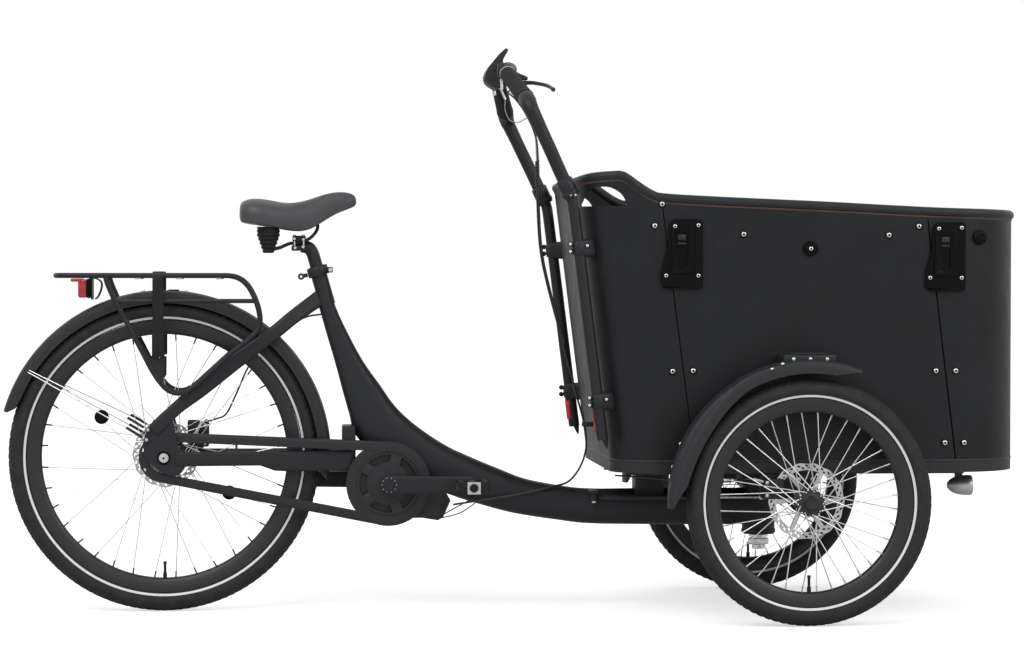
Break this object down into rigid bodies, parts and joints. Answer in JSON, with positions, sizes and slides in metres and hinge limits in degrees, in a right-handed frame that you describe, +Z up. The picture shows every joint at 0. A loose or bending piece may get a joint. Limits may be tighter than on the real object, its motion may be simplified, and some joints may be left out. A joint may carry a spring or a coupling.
{
  "type": "electric cargo tricycle",
  "caption": "Electric cargo tricycle: open box with a bench between its front wheels, low swept frame, mid motor, enclosed chain, rear rack, mudguards and lights.",
  "frame": {"origin": "on the ground, in the middle of the footprint", "axes": "+X forward, +Y to the rider's left, +Z up"},
  "size_m": [2.106, 0.83, 1.1848],
  "materials": {
    "black_paint": "satin black powder coat",
    "panel": "matt dark grey panel",
    "black_plastic": "fine matt moulding",
    "gloss_black": "smooth black moulding",
    "rubber": "matt rubber",
    "tyre": "matt tyre rubber",
    "silver": "polished aluminium",
    "steel": "steel",
    "red_lens": "clear red moulding"
  },
  "bodies": {
    "frame": {"frame": "black_paint", "seat_clamp": "black_paint", "motor": "black_plastic", "chain": "steel", "chain_case": "black_plastic", "rear_axle": "steel", "rear_brake_caliper": "black_paint", "rear_mudguard": "black_plastic", "rear_rack": "black_paint", "rack_strap": "rubber", "tail_light": "red_lens", "damper_cylinder": "black_paint"},
    "front": {"steering_pin": "steel", "front_axle_beam": "black_paint", "box_floor": "black_plastic", "box_rear": "panel", "box_front": "panel", "box_rim": "black_paint", "bench": "black_plastic", "battery": "black_plastic", "control_cable": "rubber", "box_side_left": "panel", "box_side_right": "panel", "tent_socket_rear_left": "black_plastic", "tent_socket_rear_right": "black_plastic", "tent_socket_front_left": "black_plastic", "tent_socket_front_right": "black_plastic", "front_mudguard_left": "black_plastic", "front_mudguard_right": "black_plastic", "front_brake_caliper_left": "black_paint", "front_brake_caliper_right": "black_paint", "handlebar_tube_left": "black_paint", "handlebar_tube_right": "black_paint"},
    "front_wheel_left": {"front_wheel_left": "silver", "front_tyre_left": "tyre", "front_brake_disc_left": "steel"},
    "front_wheel_right": {"front_wheel_right": "silver", "front_tyre_right": "tyre", "front_brake_disc_right": "steel"},
    "rear_wheel": {"rear_wheel": "silver", "rear_tyre": "tyre", "rear_brake_disc": "steel"},
    "crank": {"crank_right": "black_paint", "crank_left": "black_paint", "chainring": "steel"},
    "sprocket": {"rear_sprocket": "steel"},
    "pedal_right": {"pedal_right": "rubber"},
    "pedal_left": {"pedal_left": "rubber"},
    "seat": {"seat_post": "black_paint", "saddle_rails": "steel", "saddle": "rubber"},
    "clamp_lever": {"seat_clamp_lever": "black_paint"},
    "handlebar": {"handlebar_arch": "black_paint", "display": "gloss_black", "grip_left": "rubber", "grip_right": "rubber"},
    "brake_lever_left": {"brake_lever_left": "silver"},
    "brake_lever_right": {"brake_lever_right": "silver"},
    "damper_rod": {"damper_rod": "steel"},
    "headlight": {"headlight": "silver"}
  },
  "joints": [
    {"name": "steering", "type": "hinge", "parent": "frame", "child": "front", "pos_m": [0.54449, 0, 0.262], "axis": [0, 0, 1], "range_deg": [-35, 35], "deforming": ["control_cable"]},
    {"name": "front_wheel_left_spin", "type": "hinge", "parent": "front", "child": "front_wheel_left", "pos_m": [0.58449, 0.38, 0.25], "axis": [0, 1, 0], "continuous": true},
    {"name": "front_wheel_right_spin", "type": "hinge", "parent": "front", "child": "front_wheel_right", "pos_m": [0.58449, -0.38, 0.25], "axis": [0, 1, 0], "continuous": true},
    {"name": "rear_wheel_spin", "type": "hinge", "parent": "frame", "child": "rear_wheel", "pos_m": [-0.71751, 0, 0.326], "axis": [0, 1, 0], "continuous": true},
    {"name": "crank_spin", "type": "hinge", "parent": "frame", "child": "crank", "pos_m": [-0.24951, 0, 0.269], "axis": [0, 1, 0], "continuous": true},
    {"name": "sprocket_spin", "type": "hinge", "parent": "frame", "child": "sprocket", "pos_m": [-0.71751, -0.0535, 0.326], "axis": [0, 1, 0], "continuous": true},
    {"name": "pedal_right_spin", "type": "hinge", "parent": "crank", "child": "pedal_right", "pos_m": [-0.07951, -0.16, 0.269], "axis": [0, 1, 0], "continuous": true},
    {"name": "pedal_left_spin", "type": "hinge", "parent": "crank", "child": "pedal_left", "pos_m": [-0.41951, 0.16, 0.269], "axis": [0, 1, 0], "continuous": true},
    {"name": "seat_height", "type": "slide", "parent": "frame", "child": "seat", "axis": [-0.2756, 0, 0.9613], "range_m": [-0.015, 0.12]},
    {"name": "seat_clamp_release", "type": "hinge", "parent": "frame", "child": "clamp_lever", "pos_m": [-0.37001, 0.0128, 0.718], "axis": [0, 0, -1], "range_deg": [0, 150]},
    {"name": "handlebar_height", "type": "slide", "parent": "front", "child": "handlebar", "axis": [-0.4226, 0, 0.9063], "range_m": [0, 0.03]},
    {"name": "brake_lever_left_squeeze", "type": "hinge", "parent": "handlebar", "child": "brake_lever_left", "pos_m": [0.03049, 0.106, 1.112], "axis": [0, 0, 1], "range_deg": [0, 12], "stiffness_Nm_per_rad": 1},
    {"name": "brake_lever_right_squeeze", "type": "hinge", "parent": "handlebar", "child": "brake_lever_right", "pos_m": [0.03049, -0.106, 1.112], "axis": [0, 0, -1], "range_deg": [0, 12], "stiffness_Nm_per_rad": 1},
    {"name": "damper_stroke", "type": "slide", "parent": "frame", "child": "damper_rod", "axis": [1, 0, 0], "range_m": [-0.033, 0.033]},
    {"name": "headlight_tilt", "type": "hinge", "parent": "front", "child": "headlight", "pos_m": [0.97949, 0, 0.2875], "axis": [0, 1, 0], "range_deg": [-15, 15]}
  ],
  "couplings": [
    {"joint": "sprocket_spin", "follows": "crank_spin", "ratio": 1.9},
    {"joint": "damper_stroke", "follows": "steering", "m_per_rad": 0.052}
  ]
}
